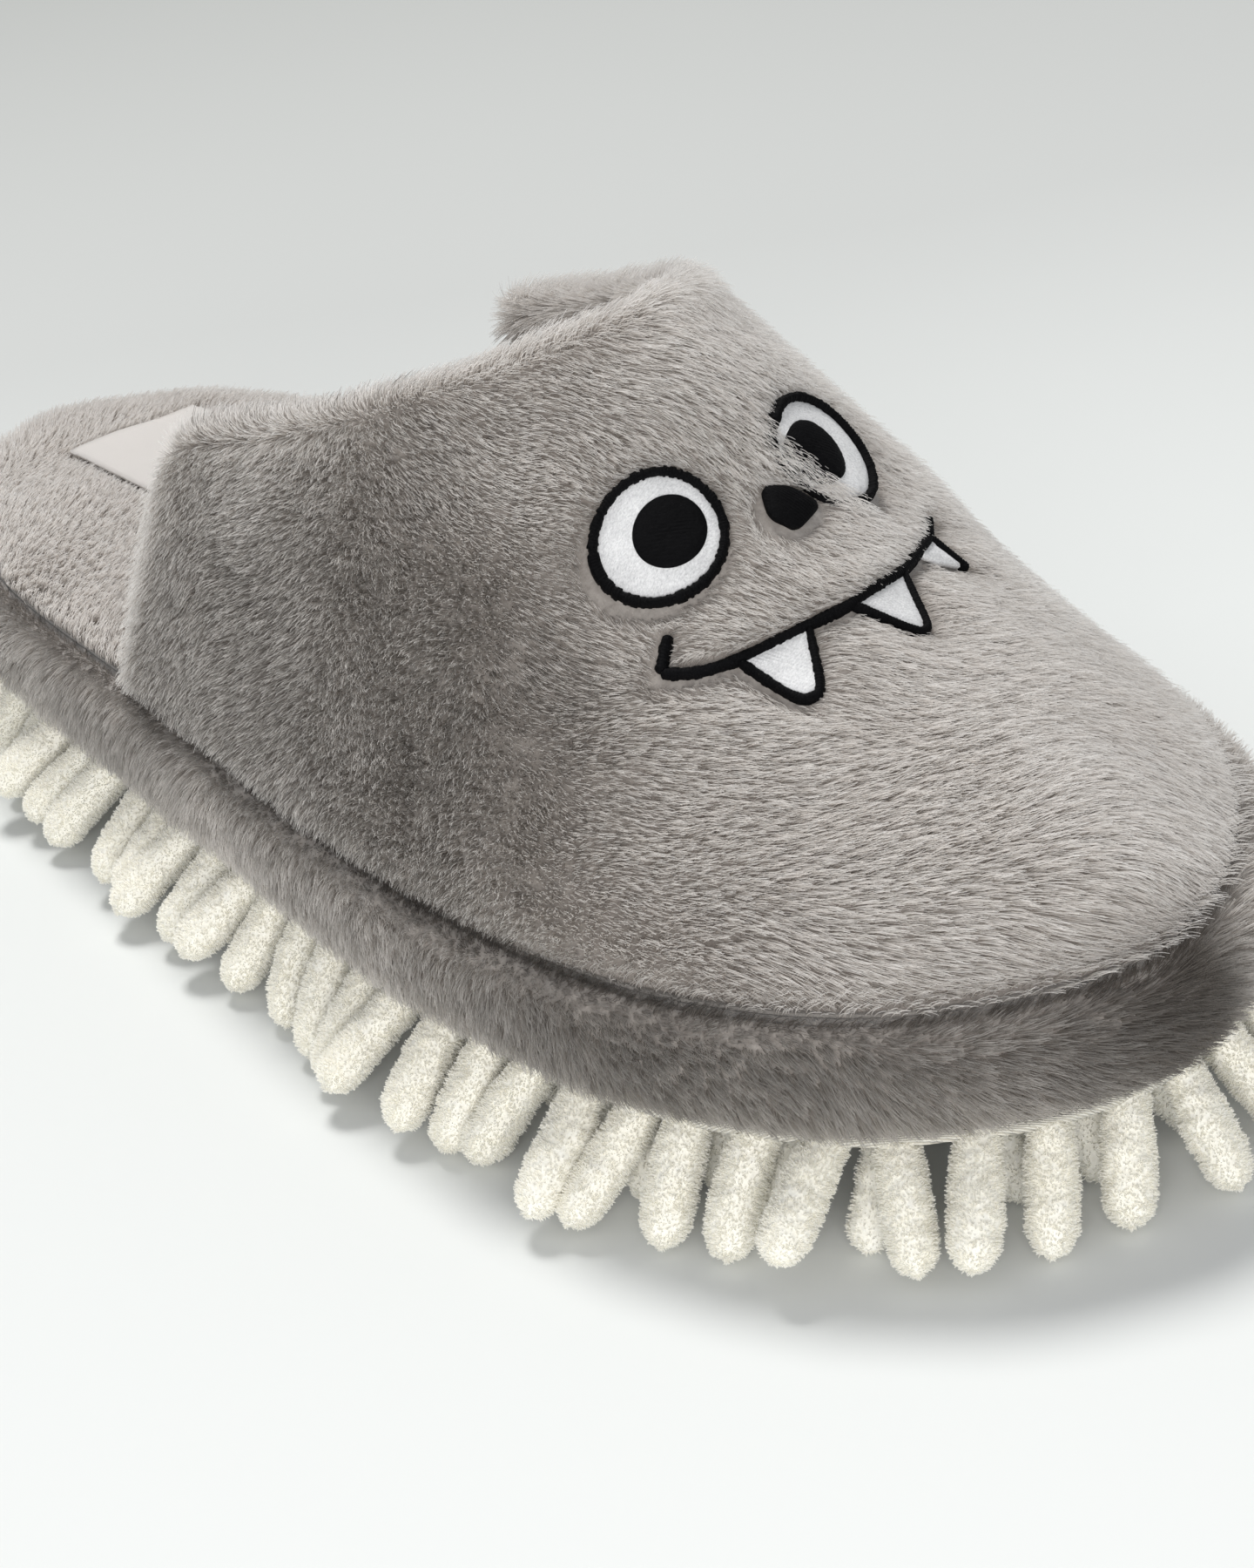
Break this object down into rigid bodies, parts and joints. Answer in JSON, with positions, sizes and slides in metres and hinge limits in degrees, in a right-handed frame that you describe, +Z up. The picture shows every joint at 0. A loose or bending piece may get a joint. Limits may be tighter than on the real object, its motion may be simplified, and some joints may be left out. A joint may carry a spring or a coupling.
{
  "type": "plush mop slipper",
  "caption": "Backless plush house slipper with an embroidered cartoon face and a pull-off mop sole of chenille fingers.",
  "frame": {"origin": "middle of the footprint, on the floor the mop fingers stand on", "axes": "+Z up, the toe points to -Y and the heel to +Y, the wearer's right side is -X"},
  "size_m": [0.123, 0.2897, 0.095],
  "materials": {
    "grey_plush": "short dense plush pile, taupe grey",
    "chenille": "cream chenille yarn, bumpy and matt",
    "mop_cloth": "cream knitted backing cloth",
    "loop_fabric": "brushed loop fabric",
    "hook_tape": "hook side of a hook and loop tape",
    "outsole_fabric": "plain woven bottom cloth",
    "foam": "soft closed-cell foam",
    "board": "stiff fibre insole board",
    "grey_thread": "sewing thread",
    "black_thread": "satin-stitch embroidery, black",
    "white_thread": "fill-stitch embroidery, white",
    "label_cloth": "blank woven label"
  },
  "bodies": {
    "mop_sole": {"mop_base_cloth": "mop_cloth", "mop_edge_hem": "mop_cloth", "mop_loop_sheet": "loop_fabric", "mop_fingers_toe": "chenille", "mop_fingers_right": "chenille", "mop_fingers_left": "chenille", "mop_fingers_heel": "chenille", "mop_fingers_second_row": "chenille", "mop_fingers_forefoot": "chenille", "mop_fingers_arch": "chenille", "mop_fingers_heel_pad": "chenille"},
    "slipper": {"hook_patch_toe": "hook_tape", "hook_patch_arch": "hook_tape", "hook_patch_heel": "hook_tape", "outsole": "outsole_fabric", "midsole": "foam", "insole_board": "board", "insole_foam": "foam", "insole_cover": "grey_plush", "side_band": "grey_plush", "seam_thread": "grey_thread", "vamp_plush": "grey_plush", "vamp_padding": "foam", "vamp_lining": "grey_plush", "eye_ring_right": "black_thread", "eye_ring_left": "black_thread", "eye_white_right": "white_thread", "eye_white_left": "white_thread", "eye_pupil_right": "black_thread", "eye_pupil_left": "black_thread", "nose_patch": "black_thread", "mouth_line": "black_thread", "tooth_outlines": "black_thread", "tooth_fills": "white_thread", "insole_label": "label_cloth"}
  },
  "joints": [
    {"name": "slipper_lift", "type": "slide", "parent": "mop_sole", "child": "slipper", "axis": [0, 0, 1], "range_m": [0, 0.06]}
  ]
}
